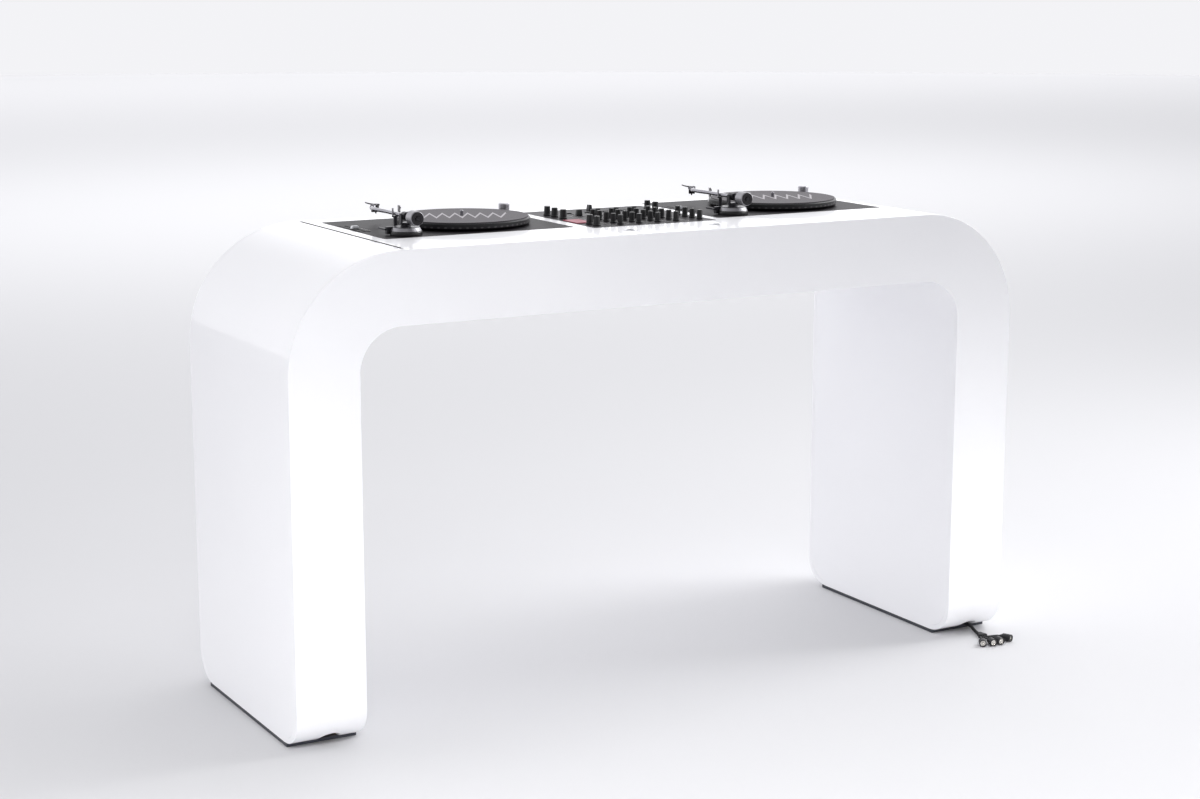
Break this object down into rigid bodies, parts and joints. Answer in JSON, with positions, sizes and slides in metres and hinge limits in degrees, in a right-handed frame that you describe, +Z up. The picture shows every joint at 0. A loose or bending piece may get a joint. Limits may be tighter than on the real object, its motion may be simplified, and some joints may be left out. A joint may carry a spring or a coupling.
{
  "type": "dj booth",
  "caption": "White arch-shaped DJ booth with turntables and a mixer let flush into its worktop, dark plinths under both legs and a cable loom at one foot.",
  "frame": {"origin": "centre of the footprint on the floor, measured without the cable loom", "axes": "+X to the right as the audience sees the booth, +Y from the audience to the DJ, +Z up"},
  "size_m": [1.824, 0.6915, 1.0855],
  "materials": {
    "white_shell": "gloss",
    "frame_board": "matte",
    "plinth_board": "satin",
    "inlay_metal": "satin",
    "deck_body": "satin",
    "platter_metal": "satin",
    "spindle_steel": "polished",
    "slipmat_felt": "matte",
    "arm_metal": "satin",
    "weight_steel": "satin",
    "shell_plastic": "satin",
    "control_metal": "satin",
    "mixer_body": "satin",
    "knob_plastic": "satin",
    "cord_rubber": "matte"
  },
  "bodies": {
    "booth": {"carcass": "frame_board", "front_fascia": "white_shell", "rear_fascia": "white_shell", "inner_liner": "white_shell", "left_shell": "white_shell", "worktop_shell": "white_shell", "left_plinth": "plinth_board", "right_plinth": "plinth_board", "left_worktop_inlay": "inlay_metal", "right_worktop_inlay": "inlay_metal", "loom_gland": "cord_rubber", "loom_trunk": "cord_rubber", "loom_splitter": "cord_rubber", "loom_tail_1": "cord_rubber", "loom_tail_2": "cord_rubber", "loom_tail_3": "cord_rubber", "loom_tail_4": "cord_rubber", "loom_plug_1": "cord_rubber", "loom_plug_2": "cord_rubber", "loom_plug_3": "cord_rubber", "loom_plug_4": "cord_rubber", "mixer_case": "mixer_body", "mixer_knob_board": "knob_plastic", "left_deck_case": "deck_body", "left_deck_arm_base": "arm_metal", "right_deck_case": "deck_body", "right_deck_arm_base": "arm_metal"},
    "left_platter": {"left_deck_platter": "platter_metal", "left_deck_spindle": "spindle_steel", "left_deck_slipmat": "slipmat_felt"},
    "left_arm_yoke": {"left_deck_arm_yoke": "arm_metal"},
    "left_tonearm": {"left_deck_tonearm": "arm_metal", "left_deck_headshell": "shell_plastic"},
    "left_counterweight": {"left_deck_counterweight": "weight_steel"},
    "left_cue_lever": {"left_deck_cue_lever": "arm_metal"},
    "left_pitch_knob": {"left_deck_pitch_knob": "control_metal"},
    "left_start_button": {"left_deck_start_button": "control_metal"},
    "left_speed_33_button": {"left_deck_speed_33_button": "control_metal"},
    "left_speed_45_button": {"left_deck_speed_45_button": "control_metal"},
    "left_power_dial": {"left_deck_power_dial": "control_metal"},
    "right_platter": {"right_deck_platter": "platter_metal", "right_deck_spindle": "spindle_steel", "right_deck_slipmat": "slipmat_felt"},
    "right_arm_yoke": {"right_deck_arm_yoke": "arm_metal"},
    "right_tonearm": {"right_deck_tonearm": "arm_metal", "right_deck_headshell": "shell_plastic"},
    "right_counterweight": {"right_deck_counterweight": "weight_steel"},
    "right_cue_lever": {"right_deck_cue_lever": "arm_metal"},
    "right_pitch_knob": {"right_deck_pitch_knob": "control_metal"},
    "right_start_button": {"right_deck_start_button": "control_metal"},
    "right_speed_33_button": {"right_deck_speed_33_button": "control_metal"},
    "right_speed_45_button": {"right_deck_speed_45_button": "control_metal"},
    "right_power_dial": {"right_deck_power_dial": "control_metal"},
    "channel_fader_1": {"channel_fader_1": "knob_plastic"},
    "channel_fader_2": {"channel_fader_2": "knob_plastic"},
    "channel_fader_3": {"channel_fader_3": "knob_plastic"},
    "channel_fader_4": {"channel_fader_4": "knob_plastic"},
    "crossfader": {"crossfader": "knob_plastic"},
    "master_level_knob": {"master_level_knob": "knob_plastic"},
    "booth_level_knob": {"booth_level_knob": "knob_plastic"}
  },
  "joints": [
    {"name": "left_platter_spin", "type": "hinge", "parent": "booth", "child": "left_platter", "pos_m": [-0.353, 0.064, 1.03], "axis": [0, 0, -1], "continuous": true},
    {"name": "left_arm_swing", "type": "hinge", "parent": "booth", "child": "left_arm_yoke", "pos_m": [-0.545, -0.061, 1.03], "axis": [0, 0, -1], "range_deg": [0, 34]},
    {"name": "left_arm_lift", "type": "hinge", "parent": "left_arm_yoke", "child": "left_tonearm", "pos_m": [-0.545, -0.061, 1.07], "axis": [1, -0.0091, 0], "range_deg": [0, 10]},
    {"name": "left_counterweight_turn", "type": "hinge", "parent": "left_tonearm", "child": "left_counterweight", "pos_m": [-0.545, -0.061, 1.07], "axis": [0.0091, 1, 0], "continuous": true},
    {"name": "left_cue_lift", "type": "hinge", "parent": "booth", "child": "left_cue_lever", "pos_m": [-0.58589, -0.04863, 1.0426], "axis": [1, -0.0091, 0], "range_deg": [0, 60]},
    {"name": "left_pitch_slide", "type": "slide", "parent": "booth", "child": "left_pitch_knob", "axis": [0, 1, 0], "range_m": [-0.05, 0.05]},
    {"name": "left_start_press", "type": "slide", "parent": "booth", "child": "left_start_button", "axis": [0, 0, -1], "range_m": [0, 0.002], "stiffness_N_per_m": 300, "springref_m": -0.002},
    {"name": "left_speed_33_press", "type": "slide", "parent": "booth", "child": "left_speed_33_button", "axis": [0, 0, -1], "range_m": [0, 0.002], "stiffness_N_per_m": 150, "springref_m": -0.002},
    {"name": "left_speed_45_press", "type": "slide", "parent": "booth", "child": "left_speed_45_button", "axis": [0, 0, -1], "range_m": [0, 0.002], "stiffness_N_per_m": 150, "springref_m": -0.002},
    {"name": "left_power_dial_turn", "type": "hinge", "parent": "booth", "child": "left_power_dial", "pos_m": [-0.2, 0.159, 1.03], "axis": [0, 0, -1], "range_deg": [0, 45]},
    {"name": "right_platter_spin", "type": "hinge", "parent": "booth", "child": "right_platter", "pos_m": [0.4715, 0.064, 1.03], "axis": [0, 0, -1], "continuous": true},
    {"name": "right_arm_swing", "type": "hinge", "parent": "booth", "child": "right_arm_yoke", "pos_m": [0.2795, -0.061, 1.03], "axis": [0, 0, -1], "range_deg": [0, 34]},
    {"name": "right_arm_lift", "type": "hinge", "parent": "right_arm_yoke", "child": "right_tonearm", "pos_m": [0.2795, -0.061, 1.07], "axis": [1, -0.0091, 0], "range_deg": [0, 10]},
    {"name": "right_counterweight_turn", "type": "hinge", "parent": "right_tonearm", "child": "right_counterweight", "pos_m": [0.2795, -0.061, 1.07], "axis": [0.0091, 1, 0], "continuous": true},
    {"name": "right_cue_lift", "type": "hinge", "parent": "booth", "child": "right_cue_lever", "pos_m": [0.23861, -0.04863, 1.0426], "axis": [1, -0.0091, 0], "range_deg": [0, 60]},
    {"name": "right_pitch_slide", "type": "slide", "parent": "booth", "child": "right_pitch_knob", "axis": [0, 1, 0], "range_m": [-0.05, 0.05]},
    {"name": "right_start_press", "type": "slide", "parent": "booth", "child": "right_start_button", "axis": [0, 0, -1], "range_m": [0, 0.002], "stiffness_N_per_m": 300, "springref_m": -0.002},
    {"name": "right_speed_33_press", "type": "slide", "parent": "booth", "child": "right_speed_33_button", "axis": [0, 0, -1], "range_m": [0, 0.002], "stiffness_N_per_m": 150, "springref_m": -0.002},
    {"name": "right_speed_45_press", "type": "slide", "parent": "booth", "child": "right_speed_45_button", "axis": [0, 0, -1], "range_m": [0, 0.002], "stiffness_N_per_m": 150, "springref_m": -0.002},
    {"name": "right_power_dial_turn", "type": "hinge", "parent": "booth", "child": "right_power_dial", "pos_m": [0.6245, 0.159, 1.03], "axis": [0, 0, -1], "range_deg": [0, 45]},
    {"name": "channel_fader_1_slide", "type": "slide", "parent": "booth", "child": "channel_fader_1", "axis": [0, 1, 0], "range_m": [-0.03, 0.03]},
    {"name": "channel_fader_2_slide", "type": "slide", "parent": "booth", "child": "channel_fader_2", "axis": [0, 1, 0], "range_m": [-0.03, 0.03]},
    {"name": "channel_fader_3_slide", "type": "slide", "parent": "booth", "child": "channel_fader_3", "axis": [0, 1, 0], "range_m": [-0.03, 0.03]},
    {"name": "channel_fader_4_slide", "type": "slide", "parent": "booth", "child": "channel_fader_4", "axis": [0, 1, 0], "range_m": [-0.03, 0.03]},
    {"name": "crossfader_slide", "type": "slide", "parent": "booth", "child": "crossfader", "axis": [1, 0, 0], "range_m": [-0.0225, 0.0225]},
    {"name": "master_level_turn", "type": "hinge", "parent": "booth", "child": "master_level_knob", "pos_m": [-0.1085, -0.113, 1.03], "axis": [0, 0, -1], "range_deg": [-150, 150]},
    {"name": "booth_level_turn", "type": "hinge", "parent": "booth", "child": "booth_level_knob", "pos_m": [-0.1085, 0.043, 1.03], "axis": [0, 0, -1], "range_deg": [-150, 150]}
  ],
  "couplings": [
    {"joint": "left_cue_lift", "follows": "left_arm_lift", "ratio": 5.9},
    {"joint": "right_cue_lift", "follows": "right_arm_lift", "ratio": 5.9}
  ]
}
